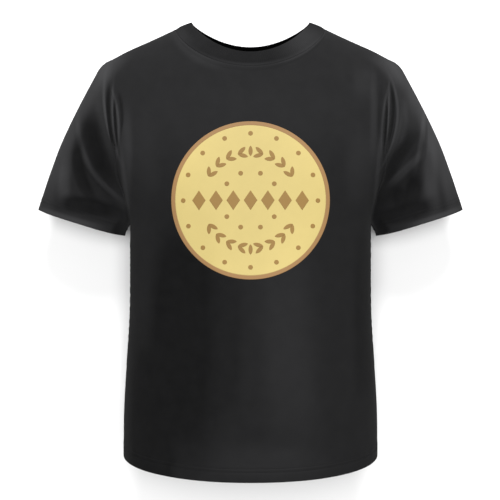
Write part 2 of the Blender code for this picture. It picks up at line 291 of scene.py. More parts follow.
# Real sizes of the finishes' patterns, in millimetres: the breadth of the clouds of the dye and
# of the ink, the gaps between the cloth's loose fibres and between the ink's grains, and the way
# that a thread's plies run in one turn.
DYE_CLOUD = 22.0
INK_CLOUD = 17.0
FIBRE_GAP = 0.7
INK_GRAIN = 1.1
PLY_TURN = 0.7

# How strongly those clouds show, how high a knitted loop is, as a share of its column's width,
# and how many loops its sides climb over that width.
DYE_CLOUDINESS = 0.08
INK_CLOUDINESS = 0.25
LOOP_HEIGHT = 0.8
LOOP_SLANT = 1.3

# The stage, in metres. The softboxes have a place, a width and watts, and aim at one point.
SOFTBOXES = {
    "overhead softbox": ((0.0, 0.0, 2.8), 2.0, 95),
    "key softbox": ((0.1, 2.4, 1.35), 1.2, 130),
}
SOFTBOX_AIM = (0, 0, 0.1)
ROOM_LIGHT = 0.35
FLOOR_REACH = 6.0
FLOOR_Z = -0.0006
CAMERA_PLACE = (-0.0008, -0.0076, 1.585)
CAMERA_LENS = 68.8


def linear(code):
    """An sRGB hex colour as the linear red, green, blue and alpha that Blender works in."""
    srgb = np.array([int(code[i : i + 2], 16) for i in (0, 2, 4)]) / 255
    light = np.where(srgb > 0.04045, ((srgb + 0.055) / 1.055) ** 2.4, srgb / 12.92)
    return (*light.tolist(), 1.0)


def size_property(name, default, description, unit="LENGTH"):
    return bpy.props.FloatProperty(
        name=name, default=default, description=description, min=0.0, precision=5, unit=unit
    )


def colour_property(name, code, description):
    return bpy.props.FloatVectorProperty(
        name=name, default=linear(code), description=description, size=4, min=0.0, max=1.0,
        subtype="COLOR",
    )


class ShirtSizes(bpy.types.PropertyGroup):
    """Sizes of the cloth, the sewing and the print."""

    cloth: size_property("Cloth", 0.0009, "Thickness of the jersey")
    hem: size_property("Hem", 0.022, "Depth of the cloth turned up at the hems")
    needle_gap: size_property("Needle gap", 0.0055, "Between the two rows of hem stitches")
    stitch_pitch: size_property("Stitch pitch", 0.0034, "From one stitch to the next")
    thread: size_property("Thread", 0.0007, "Thickness of the sewing thread")
    welt: size_property("Welt", 0.005, "Width of the overlocked edges inside a seam")
    seam_dip: size_property("Seam dip", 0.00015, "How far the cloth sinks in along a seam")
    wale: size_property("Wale", 0.0012, "Width of one column of knitted loops")
    rib: size_property("Rib", 0.0024, "Width of one rib of the collar")
    ink: size_property("Ink", 0.0003, "Thickness of the printed film")
    rim: size_property("Rim", 0.0059, "Width of the rim of the print")
    fold_depth: size_property("Fold depth", 1.0, "Strength of all the folds", "NONE")


def sizes():
    return bpy.context.scene.shirt_sizes


class ShirtColours(bpy.types.PropertyGroup):
    """Colours of the cloth, thread, print and floor."""

    # The first two colours are the ends of the cloth's painted light: its deepest painted shade and
    # its brightest painted highlight.
    jersey: colour_property("Jersey", "030303", "The cloth in its deepest painted shade, inside the collar")
    painted_highlight_colour: colour_property("Jersey in full painted highlight", "363637", "The same cloth under the brightest painted highlight")
    thread: colour_property("Thread", "101011", "Sewing thread")
    cream: colour_property("Cream ink", "a4945d", "Field of the print")
    brown: colour_property("Brown ink", "7b5d3a", "Rim of the print")
    motif: colour_property("Motif ink", "775c2f", "Dots, grains and lozenges")
    floor: colour_property("Floor", "dcdcdc", "The surface that the shirt lies on")


def smooth_step(low, high, value):
    """0 at low, 1 at high, and a soft curve between. It falls where low is above high."""
    share = np.clip((value - low) / (high - low), 0, 1)
    return share * share * (3 - 2 * share)


def bell(distance, width):
    """1 at no distance and next to nothing two widths away."""
    return np.exp(-((distance / width) ** 2))


def body_half_width(height):
    """Half width of the whole body form. Above the armpit it runs on into the sleeve."""
    flare = 1 - smooth_step(*HEM_FLARE, height)
    arm = smooth_step(*ARM_HEIGHTS, height)
    return CHEST_HALF_WIDTH + (HEM_HALF_WIDTH - CHEST_HALF_WIDTH) * flare + ARM_REACH * arm


def panel_half_width(height):
    """Half width of a panel: the side seam below the armpit, the armhole above it."""
    share = np.clip((height - ARMPIT_HEIGHT) / (SHOULDER_END[1] - ARMPIT_HEIGHT), 0, 1)
    armhole = body_half_width(ARMPIT_HEIGHT) * (1 - share) + SHOULDER_END[0] * share
    armhole = armhole - ARMHOLE_HOLLOW * np.sin(np.pi * share) * (1 - share)
    return np.where(height <= ARMPIT_HEIGHT, body_half_width(height), armhole)


def shoulder_line(x):
    """Height of the shoulder ridge, which the collar cuts off beside the neck."""
    slope = (NECK_SIDE[1] - SHOULDER_END[1]) / (SHOULDER_END[0] - NECK_SIDE[0])
    outside = np.abs(x) - NECK_SIDE[0]
    behind = np.hypot(x, NECK_ROUNDING) - np.hypot(NECK_SIDE[0], NECK_ROUNDING)
    share = np.clip(outside / (SHOULDER_END[0] - NECK_SIDE[0]), 0, 1)
    bow = SHOULDER_BOW * np.sin(np.pi * share**SHOULDER_BOW_LEAN) ** 2
    return NECK_SIDE[1] - slope * np.where(outside < 0, behind, outside) + bow


def rounded(share):
    """A quarter circle from 0, where it is upright, to 1, where it is level."""
    return np.sqrt(1 - (1 - np.clip(share, 0, 1)) ** 2)


def front_depth(height):
    """Depth of the body on its middle line: a full chest over a straighter waist."""
    chest = bell(height - CHEST_SWELL[0], CHEST_SWELL[1])
    neck = smooth_step(*NECK_SLOPE, height)
    return WAIST_DEPTH + (CHEST_DEPTH - WAIST_DEPTH) * chest - NECK_SINK * neck


def form_z(side, x, height):
    """Z of the smooth form of the front or back: an arch across, which the shoulder rounds off."""
    across = np.minimum(1.0, np.abs(x) / body_half_width(height))
    down = (shoulder_line(x) - height) / SHOULDER_ROUNDING[side]
    if side == "front":
        arch = np.sqrt(1 - across**FRONT_ARCH)
        return SIDE_SEAM_Z + (front_depth(height) - SIDE_SEAM_Z) * arch * rounded(down)
    arch = rounded(1 - np.maximum(0.0, across - BACK_FLAT) / (1 - BACK_FLAT))
    return SIDE_SEAM_Z * (1 - arch * rounded(down))


def folds_at(x, y):
    """Each fold with how strongly it shows at points seen from the front. The cubes of the
    distances from its arc and from its middle along it are added, and their sum to the power 1.2
    falls away as a bell with a flat top."""
    for fold in (Fold(*values) for place in FOLDS.values() for values in place.values()):
        start, end = np.array(fold.start) / 1000, np.array(fold.end) / 1000
        length = np.hypot(*(end - start))
        along = (end - start) / length
        a = ((x - start[0]) * along[0] + (y - start[1]) * along[1]) / length
        b = (y - start[1]) * along[0] - (x - start[0]) * along[1]
        off = np.abs(b - fold.bow / 1000 * 4 * a * (1 - a)) / (fold.width / 1000)
        yield fold, np.exp(-((off**3 + np.abs(2 * a - 1) ** 3) ** 1.2))


def fold_height(x, y):
    """Height of all the folds together, in metres."""
    total = sum(fold.height * share for fold, share in folds_at(x, y))
    return total / 1000 * sizes().fold_depth


def fold_painted_shading(x, y):
    """The folds' painted light: painted highlight above 0, painted shade below 0. A hollow's
    painted shade is even, with steep sides, and it stays so where a painted highlight runs over it."""
    highlight_sum, unshaded = np.zeros_like(x), np.ones_like(x)
    for fold, share in folds_at(x, y):
        highlight_sum += max(0.0, fold.tone) * share
        unshaded *= 1 - max(0.0, -fold.tone) * np.minimum(1.0, PAINTED_SHADE_EDGE * share)
    return highlight_sum * unshaded - (1 - unshaded)


def front_z(x, y):
    """Z of the front panel with its folds, which fade out where the panel turns upright."""
    z = form_z("front", x, y + BODY_LENGTH / 2)
    return z + fold_height(x, y) * smooth_step(0.0, FOLD_EDGE, z - SIDE_SEAM_Z)


def neckline(side, angle):
    """X and height of the collar seam, where angle 0 is its middle and a quarter turn its side."""
    drop = NECK_DROP[side] * np.abs(np.cos(angle)) ** NECKLINE_FULLNESS
    return NECK_SIDE[0] * np.sin(angle), NECK_SIDE[1] - drop


def panel_plan(side, u, v):
    """X and height of a panel's points: u runs from the middle line to the side edge, v from the
    hem to the shoulder. The hem and the top edge are blended by v. How far the side edge lies
    from an even line between its ends is added, to the height in full and to X times u."""
    hem_x = HEM_HALF_WIDTH * np.sin(np.pi / 2 * u)
    level = np.sqrt(np.maximum(0.0, 1 - (hem_x / HEM_HALF_WIDTH) ** 2))
    middle_rise = 0.0 if side == "front" else HEM_BACK_RISE
    hem_y = HEM_SIDE_RISE + (middle_rise - HEM_SIDE_RISE) * level
    neck_x, neck_y = neckline(side, np.pi / 2 * np.minimum(u, NECK_U) / NECK_U)
    outward = np.sin(np.pi / 2 * np.maximum(0.0, u - NECK_U) / (1 - NECK_U))
    ridge_x = NECK_SIDE[0] + (SHOULDER_END[0] - NECK_SIDE[0]) * outward
    top_x = np.where(u <= NECK_U, neck_x, ridge_x)
    top_y = np.where(u <= NECK_U, neck_y, shoulder_line(ridge_x))
    turn = np.pi * (np.maximum(v, ARMPIT_V) - ARMPIT_V) / (1 - ARMPIT_V)
    side_y = HEM_SIDE_RISE + (ARMPIT_HEIGHT - HEM_SIDE_RISE) * np.minimum(v, ARMPIT_V) / ARMPIT_V
    edge_y = side_y + (SHOULDER_END[1] - ARMPIT_HEIGHT) * (1 - np.cos(turn)) / 2
    even_x = HEM_HALF_WIDTH * (1 - v) + SHOULDER_END[0] * v
    even_y = HEM_SIDE_RISE * (1 - v) + SHOULDER_END[1] * v
    x = hem_x * (1 - v) + top_x * v + (panel_half_width(edge_y) - even_x) * u
    y = hem_y * (1 - v) + top_y * v + (edge_y - even_y)
    return x, y


def panel_points(side, u, v):
    """The cloth of a panel over a grid of u, from -1 to 1 across, and v, from hem to shoulder."""
    x, height = panel_plan(side, np.abs(u), v)
    x = x * np.sign(u)
    y = height - BODY_LENGTH / 2
    z = front_z(x, y) if side == "front" else np.maximum(0.0, form_z("back", x, height))
    return np.stack([x, y, z], axis=-1)


def rows_between(places, counts):
    """A count of even steps from each place to the next."""
    stretches = zip(places, places[1:], counts)
    rows = [np.linspace(low, high, count, endpoint=False) for low, high, count in stretches]
    return np.concatenate([*rows, places[-1:]])


def panel_rows():
    return rows_between((0, HEM_V, ARMPIT_V, SHOULDER_V, 1), PANEL_ROWS)


def sleeve_turns():
    """The columns of a sleeve's grid: one for each panel row beside the armhole, so that the
    two cloths share every point of their seam."""
    rows = panel_rows()
    beside_front = (1 - rows[rows > ARMPIT_V - 1e-9][::-1]) / (1 - ARMPIT_V) / 2
    return np.concatenate([beside_front, 1 - beside_front[-2::-1]])


def armhole_points(turn):
    """The armhole of the right side: turn 0 is the shoulder, 0.5 the armpit, and the front comes
    between them."""
    v = 1 - (1 - ARMPIT_V) * 2 * np.where(turn <= 0.5, turn, 1 - turn)
    edges = []
    for side in ("front", "back"):
        x, height = panel_plan(side, np.ones_like(v), v)
        edges.append(np.stack([x, height, form_z(side, x, height)], axis=-1))
    return np.where((turn <= 0.5)[..., None], *edges)


def sleeve_outer(s):
    """X and height of the sleeve's outer line. Its corners are softened by averaging it over a
    short stretch to both sides, which shrinks to nothing at the two ends."""
    stretch = np.minimum(SLEEVE_OUTER_SOFT, np.minimum(s, 1 - s))
    shares = s[..., None] + stretch[..., None] * np.linspace(-1, 1, 9)
    knots = (SLEEVE_OUTER_X, SLEEVE_OUTER_HEIGHT)
    return np.stack([np.interp(shares, SLEEVE_LENGTHS, k).mean(axis=-1) for k in knots], axis=-1)


def sleeve_inner(s):
    """X and height of the line under the arm: down just behind the side of the body, and away
    from it at the hem."""
    height = ARMPIT_HEIGHT - (ARMPIT_HEIGHT - SLEEVE_HEM_INNER[1]) * s
    beside = body_half_width(height) - SLEEVE_TUCK * smooth_step(0.0, SLEEVE_TUCKED, s)
    bend = smooth_step(SLEEVE_LEAVES_BODY, SLEEVE_HEM_INNER[1], height)
    return np.stack([beside + (SLEEVE_HEM_INNER[0] - beside) * bend, height], axis=-1)


def sleeve_points(hand, s, turn):
    """A sleeve's cloth: rings round the arm, s from the armhole to the hem. Each ring hangs
    between an outer and an inner line and changes from the armhole to a flat ellipse. Next to the
    body it thins out and rests against the side."""
    top, pit = armhole_points(np.array([0.0])), armhole_points(np.array([0.5]))
    start_mid, start_half = (top + pit)[0] / 2, (top - pit)[0] / 2
    start_reach = np.hypot(*start_half[:2])
    along = start_half[:2] / start_reach
    edge = armhole_points(turn) - start_mid
    shape = smooth_step(0.0, SLEEVE_SETTLED, s)
    p = (edge[..., :2] @ along / start_reach) * (1 - shape) + np.cos(2 * np.pi * turn) * shape
    aside = (edge[..., 0] * along[1] - edge[..., 1] * along[0]) * (1 - shape)
    outer, inner = sleeve_outer(s), sleeve_inner(s)
    mid, half = (outer + inner) / 2, (outer - inner) / 2
    reach = np.linalg.norm(half, axis=-1, keepdims=True)
    across = half / reach
    turned = np.stack([across[..., 1], -across[..., 0]], axis=-1)
    bow = SLEEVE_HEM_BOW * s * s * (1 - p**4) * (1 - SLEEVE_HEM_BOW_LEAN * p)
    plan = mid + reach * p[..., None] * across + (aside + bow)[..., None] * turned
    sine = np.sin(2 * np.pi * turn)
    thin = SLEEVE_THINNED * smooth_step(0.70, 1.0, -p) * smooth_step(0.0, 0.2, s) * (sine > 0)
    swell = np.sign(sine) * np.abs(sine) ** SLEEVE_FULLNESS * (1 - thin)
    hem_z = SLEEVE_HEM_Z + SLEEVE_HEM_DEPTH / 2 * swell
    z = (edge[..., 2] + start_mid[2]) * (1 - shape) + hem_z * shape
    middle_z = start_mid[2] * (1 - shape) + SLEEVE_HEM_Z * shape
    rest_z = SIDE_SEAM_Z + SLEEVE_REST * smooth_step(0.0, SLEEVE_TUCKED, s)
    rests = np.maximum(0.0, -p) ** 6 * (1 - 0.6 * smooth_step(SLEEVE_SETTLED, 1.0, s))
    z = z + (rest_z - middle_z) * rests
    x, y = plan[..., 0] * hand, plan[..., 1] - BODY_LENGTH / 2
    z = z + fold_height(x, y) * smooth_step(0.0, FOLD_EDGE, z - middle_z)
    return np.stack([x, y, np.maximum(GROUND_GAP, z)], axis=-1)


def collar_points(w, turn):
    """The middle of the collar's band, from its seam at w 0 to its folded edge at w 1."""
    angle = 2 * np.pi * turn
    level = np.abs(np.cos(angle))
    bands = []
    for side in ("front", "back"):
        seam_x, seam_y = neckline(side, angle)
        seam = np.stack([seam_x, seam_y, form_z(side, seam_x, seam_y)], axis=-1)
        edge_y = COLLAR_SIDE[1] - COLLAR_DROP[side] * level ** COLLAR_FULLNESS[side]
        edge_z = COLLAR_SIDE[2] + COLLAR_REACH[side] * level
        edge = np.stack([COLLAR_SIDE[0] * np.sin(angle), edge_y, edge_z], axis=-1)
        bands.append(seam * (1 - w[..., None]) + edge * w[..., None])
    points = np.where(np.cos(angle)[..., None] >= 0, *bands)
    points[..., 1] -= BODY_LENGTH / 2
    return points


def collar_painted_shading(w, turn):
    """The painted light of the collar's outside, like that of the folds: painted shade overall,
    with patches of painted highlight and painted shade.
    """
    tone = np.full_like(w, COLLAR_TONE)
    for middle, spread, reach, strength in COLLAR_TONES:
        near = bell((turn - middle + 0.5) % 1 - 0.5, spread)
        tone += strength * near * (1 - smooth_step(0.25 * reach, reach, w))
    return tone


def unit(vectors):
    return vectors / np.maximum(np.linalg.norm(vectors, axis=-1, keepdims=True), 1e-12)


def normals_of(points, closed=False):
    """Unit normals of a grid of points: the cross product of its two directions."""
    if closed:
        wide = np.concatenate([points[:, -2:-1], points, points[:, 1:2]], axis=1)
        across = (wide[:, 2:] - wide[:, :-2]) / 2
    else:
        across = np.gradient(points, axis=1)
    return unit(np.cross(across, np.gradient(points, axis=0)))


def lengths(points, axis):
    """Distance walked along the rows or columns of a grid, from its first point."""
    steps = np.linalg.norm(np.diff(points, axis=axis), axis=-1)
    return np.cumsum(np.insert(steps, 0, 0, axis=axis), axis=axis)


def inward(points):
    """Unit directions from points of the shirt to its inside. They depend on the place alone, so
    two pieces that meet at a seam sink in together."""
    core = points * (CORE_BREADTH, 1.0, 0.0) + (0.0, 0.0, SIDE_SEAM_Z)
    core[..., 1] = np.minimum(core[..., 1], CORE_TOP)
    return unit(core - points)


def link_object(name, data):
    made = bpy.data.objects.new(name, data)
    bpy.context.scene.collection.objects.link(made)
    return made


def grids_piece(name, grids, outward, uv=None, wear=None, closed=False, looped=False, filled=False):
    """One grid of points, or many of one size, as a mesh of four-cornered faces that turn
    outward. The last column of a closed grid repeats the first, and so does the last row of a
    looped one, and the two become one. A filled one's ends are filled by ladders of faces."""
    full = grids.reshape(-1, *grids.shape[-3:])
    kept = (slice(None), slice(full.shape[1] - looped), slice(full.shape[2] - closed))
    count, rows, columns = full[kept].shape[:3]
    index = np.arange(rows * columns).reshape(rows, columns)
    index = np.pad(index, ((0, int(looped)), (0, int(closed))), mode="wrap")
    low, high = slice(0, -1), slice(1, None)
    corners = [(low, low), (low, high), (high, high), (high, low)]
    faces = np.stack([index[corner] for corner in corners], axis=-1).reshape(-1, 4)
    if filled:
        step = np.arange(columns // 2 - 1)
        ladder = np.stack([step, step + 1, columns - 2 - step, columns - 1 - step], axis=-1)
        faces = np.concatenate([faces, index[0][ladder[:, ::-1]], index[-1][ladder]])
    facing = np.cross(np.diff(full, axis=2)[:, :-1], np.diff(full, axis=1)[:, :, :-1])
    outward = np.broadcast_to(outward, grids.shape).reshape(full.shape)[:, :-1, :-1]
    way = -1 if (unit(facing) * outward).sum() < 0 else 1
    faces = faces[:, ::way] + np.arange(count)[:, None, None] * rows * columns
    mesh = bpy.data.meshes.new(name)
    mesh.from_pydata(full[kept].reshape(-1, 3).tolist(), [], faces.reshape(-1, 4).tolist())
    if uv is not None:
        loops = np.stack([uv[corner] for corner in corners[::way]], axis=2)
        layer = mesh.uv_layers.new(name="cloth")
        layer.uv.foreach_set("vector", loops.ravel().astype(np.float32))
    if wear is not None:
        wear = wear.reshape(full.shape[:3])[kept]
        values = mesh.attributes.new("wear", "FLOAT", "POINT")
        values.data.foreach_set("value", wear.ravel().astype(np.float32))
    mesh.validate()
    mesh.shade_smooth()
    return link_object(name, mesh)


def thicken(piece, thickness):
    """Gives a surface its thickness, on the inner side."""
    solidify = piece.modifiers.new("Thickness", "SOLIDIFY")
    solidify.thickness = thickness
    solidify.offset = -1.0
    return piece


def finish_piece(piece, material, node=None):
    """Gives a piece its material and the body that it rides on, and hides the frame's part that it
    stands for.
    """
    piece.data.materials.append(materials()[material])
    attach(piece, "root")
    if node:
        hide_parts(node)
    return piece


# A panel's or sleeve's outer cloth as a grid: its points, outward normals, UVs in metres, painted
# light and shade, and each point's distance from the hem, which is its first row.
Cloth = namedtuple("Cloth", "points normals uv wear from_hem")


def panel_cloth(side):
    """A panel sinks in beside its seams, and below the collar the seam is rolled over inside it.
    Where the back lies on the floor it stays flat."""
    grid_u, grid_v = np.meshgrid(np.linspace(-1, 1, PANEL_COLUMNS + 1), panel_rows())
    points = panel_points(side, grid_u, grid_v)
    normals = normals_of(points) * (1 if side == "front" else -1)
    from_hem, from_left = lengths(points, 0), lengths(points, 1)
    to_side = np.minimum(from_left, from_left[:, -1:] - from_left)
    to_top = from_hem[-1:] - from_hem
    seam = np.maximum(bell(to_side, SEAM_BREADTH), bell(to_top, SEAM_BREADTH))
    seam = sizes().seam_dip * seam
    neck = smooth_step(*NECK_ROLL_SIDE, np.abs(points[..., 0]))
    roll = smooth_step(*NECK_ROLL_START, to_top) * smooth_step(*NECK_ROLL_END, to_top)
    relief = NECK_ROLL * neck * roll + hem_relief(from_hem, from_left)
    # Painted highlights and painted shade of the folds, on the front only.
    wear = fold_painted_shading(points[..., 0], points[..., 1]) if side == "front" else np.zeros_like(relief)
    moved = normals * relief[..., None] + inward(points) * seam[..., None]
    points = points + moved * smooth_step(*PANEL_OFF_FLOOR, points[..., 2:])
    uv = np.stack([from_left - from_left[:, [PANEL_COLUMNS // 2]], from_hem], axis=-1)
    return Cloth(points, normals, uv, wear, from_hem)


def hem_relief(from_hem, around):
    """Two grooves under the rows of stitches and a slight puckering round the upper one, on a hem
    that stands a little proud of the cloth above it."""
    past = from_hem - sizes().hem + STITCH_INSET
    grooves = bell(past, STITCH_GROOVE[0]) + bell(past + sizes().needle_gap, STITCH_GROOVE[0])
    pucker = np.sin(around / PUCKER_WAVES[0]) * np.sin(around / PUCKER_WAVES[1] + 1.0)
    pucker = HEM_PUCKER[1] * pucker * bell(past, HEM_PUCKER[0])
    proud = HEM_PROUD * smooth_step(*HEM_PROUD_END, past)
    return proud - STITCH_GROOVE[1] * grooves + pucker


def sleeve_cloth(hand):
    """A sleeve sinks in beside its armhole. The painted light of its folds fades out underneath."""
    s = 1 - rows_between(SLEEVE_SHARES, SLEEVE_ROWS)
    grid_turn, grid_s = np.meshgrid(sleeve_turns(), s)
    points = sleeve_points(hand, grid_s, grid_turn)
    normals = normals_of(points, closed=True)
    if (normals * (points - points.mean(axis=1, keepdims=True))).sum() < 0:
        normals = -normals
    from_hem, around = lengths(points, 0), lengths(points, 1)
    seam = sizes().seam_dip * bell(from_hem[-1:] - from_hem, SEAM_BREADTH)
    relief = hem_relief(from_hem, around) * smooth_step(*SLEEVE_OFF_FLOOR, points[..., 2])
    wear = fold_painted_shading(points[..., 0], points[..., 1])
    wear = wear * smooth_step(0.3 * SLEEVE_HEM_Z, SLEEVE_HEM_Z, points[..., 2])
    points = points + normals * relief[..., None] + inward(points) * seam[..., None]
    return Cloth(points, normals, np.stack([around, from_hem], axis=-1), wear, from_hem)


def turn_up(points, normals, rows):
    """Folds a hem: the first rows are repeated inside the cloth, two thicknesses down, and a
    half circle joins them to the outside."""
    drop = 2 * sizes().cloth + HEM_AIR
    inside = points[rows:0:-1] - normals[rows:0:-1] * drop
    down = unit(points[0] - points[1])
    bend = np.linspace(np.pi, 0, HEM_BEND_ROWS + 2)[1:-1, None, None]
    fold = points[0] - normals[0] * drop / 2 * (1 - np.cos(bend)) + down * drop / 2 * np.sin(bend)
    return np.concatenate([inside, fold, points])


def over_hem(values, rows, under):
    """Values for the points of turn_up: the hem's own in reverse, times under, then those of the
    first row for the bend, and those of the outside."""
    bend = values[:1].repeat(HEM_BEND_ROWS, axis=0)
    return np.concatenate([values[rows:0:-1] * under, bend, values])


def hemmed_piece(name, cloth, node, closed):
    """A panel or sleeve of cloth with its hem turned up inside."""
    rows = int(np.argmax(cloth.from_hem[:, 0] >= sizes().hem))
    points = turn_up(cloth.points, cloth.normals, rows)
    outward = over_hem(cloth.normals, rows, -1)
    uv, wear = over_hem(cloth.uv, rows, (1, -1)), over_hem(cloth.wear, rows, 0)
    piece = thicken(grids_piece(name, points, outward, uv, wear, closed), sizes().cloth)
    return finish_piece(piece, "Black cotton jersey", node)


def line_at(cloth, distance):
    """The points and normals of a cloth at one distance from its hem, one for each column."""
    row = np.argmax(cloth.from_hem >= distance, axis=0)
    column = np.arange(len(row))
    low, high = cloth.from_hem[row - 1, column], cloth.from_hem[row, column]
    share = ((distance - low) / (high - low))[:, None]
    line, normals = (
        grid[row - 1, column] * (1 - share) + grid[row, column] * share
        for grid in (cloth.points, cloth.normals)
    )
    return line, unit(normals)


def stitch_tubes(line, normals):
    """Stitches along a line: each is a round, short length of thread whose ends dive into the
    cloth."""
    walked = lengths(line[None], 1)[0]
    count = int(walked[-1] / sizes().stitch_pitch)
    middle = (np.arange(count) + 0.5) * walked[-1] / count

    def at(place, values):
        return np.stack([np.interp(place, walked, column) for column in values.T], axis=1)

    up = unit(at(middle, normals))
    forward = unit(at(middle + STITCH_AIM, line) - at(middle - STITCH_AIM, line))
    t = np.linspace(-1, 1, STITCH_RINGS)[:, None]
    angle = np.linspace(0, 2 * np.pi, STITCH_ROUND)
    radius = sizes().thread / 2 * np.sqrt(1 + STITCH_BLUNT - t**4)
    lift = sizes().thread * (STITCH_HIGH - STITCH_DIVE * t**2) + radius * np.cos(angle)
    ways = ((forward, STITCH_HALF * sizes().stitch_pitch * t), (up, lift))
    ways += ((np.cross(forward, up), radius * np.sin(angle)),)
    tubes = at(middle, line)[:, None, None]
    for direction, distance in ways:
        tubes = tubes + direction[:, None, None] * distance[..., None]
    return tubes


def tubes_piece(name, tubes, material, looped=False):
    """Tubes, each a grid of rings of points, which are filled at their ends unless they loop."""
    outward = tubes - tubes.mean(axis=-2, keepdims=True)
    piece = grids_piece(name, tubes, outward, closed=True, looped=looped, filled=not looped)
    return finish_piece(piece, material)


def stitches_piece(name, cloths):
    """Both rows of stitches round each hem, in one mesh."""
    upper = sizes().hem - STITCH_INSET
    rows = (upper, upper - sizes().needle_gap)
    tubes = [stitch_tubes(*line_at(cloth, row)) for cloth in cloths for row in rows]
    return tubes_piece(name, np.concatenate(tubes), "Spun polyester thread")


def welt_piece(name, line, looped):
    """The overlocked edges of a seam, pressed flat inside it: a strip of a rounded section along
    the seam's line, a little way in from the cloth. The line of a looped one ends where it
    starts."""
    inside = inward(line)
    aside = unit(np.cross(unit(np.gradient(line, axis=0)), inside))
    angle = np.linspace(0, 2 * np.pi, WELT_ROUND)[:, None]
    half = sizes().welt / 2 * np.sign(np.cos(angle))
    across = half * np.abs(np.cos(angle)) ** WELT_FULLNESS
    depth = WELT_HALF * np.sin(angle) + sizes().cloth + WELT_SINK
    tube = line[:, None] + aside[:, None] * across + inside[:, None] * depth
    return tubes_piece(name, tube, "Black cotton jersey", looped)


def feed(tree, node, inputs):
    """Sets a node's inputs, by name or by place: each to a value, or linked to an output."""
    for name, value in inputs.items():
        if isinstance(value, bpy.types.NodeSocket):
            tree.links.new(value, node.inputs[name])
        else:
            node.inputs[name].default_value = value


def add_node(tree, kind, inputs, **settings):
    """Adds a node with its own settings and its inputs, and gives its outputs. Where a node's
    sockets share names with those of other kinds of value, they go by place."""
    node = tree.nodes.new("ShaderNode" + kind)
    for name, value in settings.items():
        setattr(node, name, value)
    feed(tree, node, inputs)
    return node.outputs


def knit_height(tree, wale):
    """Height of plain jersey from the cloth's UVs: columns of loops, each a stack of Vs. In each
    column the phase of a wave climbs with the distance from the column's middle. A real column is
    about 0.7 mm wide, which wouldn't show, so it is drawn coarser."""
    uv = add_node(tree, "UVMap", {}, uv_map="cloth")[0]
    across, along = add_node(tree, "SeparateXYZ", {0: uv})[:2]
    side = across
    for operation, by in (("DIVIDE", wale), ("FRACT", 0), ("SUBTRACT", 0.5), ("ABSOLUTE", 0)):
        side = add_node(tree, "Math", {0: side, 1: by}, operation=operation)[0]
    loop = add_node(tree, "Math", {0: along, 1: wale * LOOP_HEIGHT}, operation="DIVIDE")[0]
    wave = {0: side, 1: LOOP_SLANT, 2: loop}
    wave = add_node(tree, "Math", wave, operation="MULTIPLY_ADD")[0]
    for operation, by in (("MULTIPLY", 2 * np.pi), ("SINE", 0)):
        wave = add_node(tree, "Math", {0: wave, 1: by}, operation=operation)[0]
    edge = add_node(tree, "Math", {0: side, 1: -2.0, 2: 1.0}, operation="MULTIPLY_ADD")[0]
    return add_node(tree, "Math", {0: wave, 1: edge}, operation="MULTIPLY")[0]


def cotton_jersey(tree, shader, colour, painted_highlight_colour, wale):
    """Combed cotton, knitted and then dyed black: matt, with a short fuzz that catches light at the
    edges, a fine knit and faint cloudiness from the dye. Painted highlights on ridges and edges and
    painted shade in hollows and inside the collar are mixed into its colour."""
    place = add_node(tree, "TexCoord", {})["Object"]
    dye = {"Vector": place, "Scale": 1000 / DYE_CLOUD, "Detail": 3.0, "Roughness": 0.6}
    cloud = add_node(tree, "TexNoise", dye)["Fac"]
    fuzz = {"Vector": place, "Scale": 1000 / FIBRE_GAP, "Detail": 2.0}
    fuzz = add_node(tree, "TexNoise", fuzz)["Fac"]
    # Painted light and shade from the pieces, mapped from the deepest painted shade to the
    # brightest painted highlight.
    tone = add_node(tree, "Attribute", {}, attribute_name="wear")["Fac"]
    share = {"Value": tone, "From Min": DEEPEST_PAINTED_SHADE, "From Max": BRIGHTEST_PAINTED_HIGHLIGHT}
    share = {0: cloud, 1: DYE_CLOUDINESS, 2: add_node(tree, "MapRange", share)["Result"]}
    share = add_node(tree, "Math", share, operation="MULTIPLY_ADD", use_clamp=True)[0]
    share = {0: share, 1: DYE_CLOUDINESS / 2}
    share = add_node(tree, "Math", share, operation="SUBTRACT", use_clamp=True)[0]
    mixed = add_node(tree, "Mix", {0: share, 6: colour, 7: painted_highlight_colour}, data_type="RGBA")[2]
    loops = {"Height": knit_height(tree, wale), "Strength": 0.5, "Distance": 0.00015}
    fuzz = {"Height": fuzz, "Strength": 0.4, "Distance": 0.0001}
    fuzz["Normal"] = add_node(tree, "Bump", loops)["Normal"]
    looks = {"Base Color": mixed, "Normal": add_node(tree, "Bump", fuzz)["Normal"]}
    looks |= {"Roughness": 0.95, "Specular IOR Level": 0.0}
    feed(tree, shader, looks | {"Sheen Weight": 0.02, "Sheen Roughness": 0.5})


def sewing_thread(tree, shader, colour):
    """Polyester fibres spun and twisted into plies: a low silky gloss on fine slanting ridges."""
    place = add_node(tree, "TexCoord", {})["Object"]
    # At a scale of 1 the wave repeats every 2 pi / 10 metres along an axis.
    plies = {"Vector": place, "Scale": 2 * np.pi / 10 * 1000 / PLY_TURN}
    twist = add_node(tree, "TexWave", plies, bands_direction="DIAGONAL")["Fac"]
    ridges = add_node(tree, "Bump", {"Height": twist, "Strength": 0.4, "Distance": 0.00008})
    looks = {"Base Color": colour, "Normal": ridges["Normal"], "Roughness": 0.7}
    feed(tree, shader, looks | {"Specular IOR Level": 0.1})


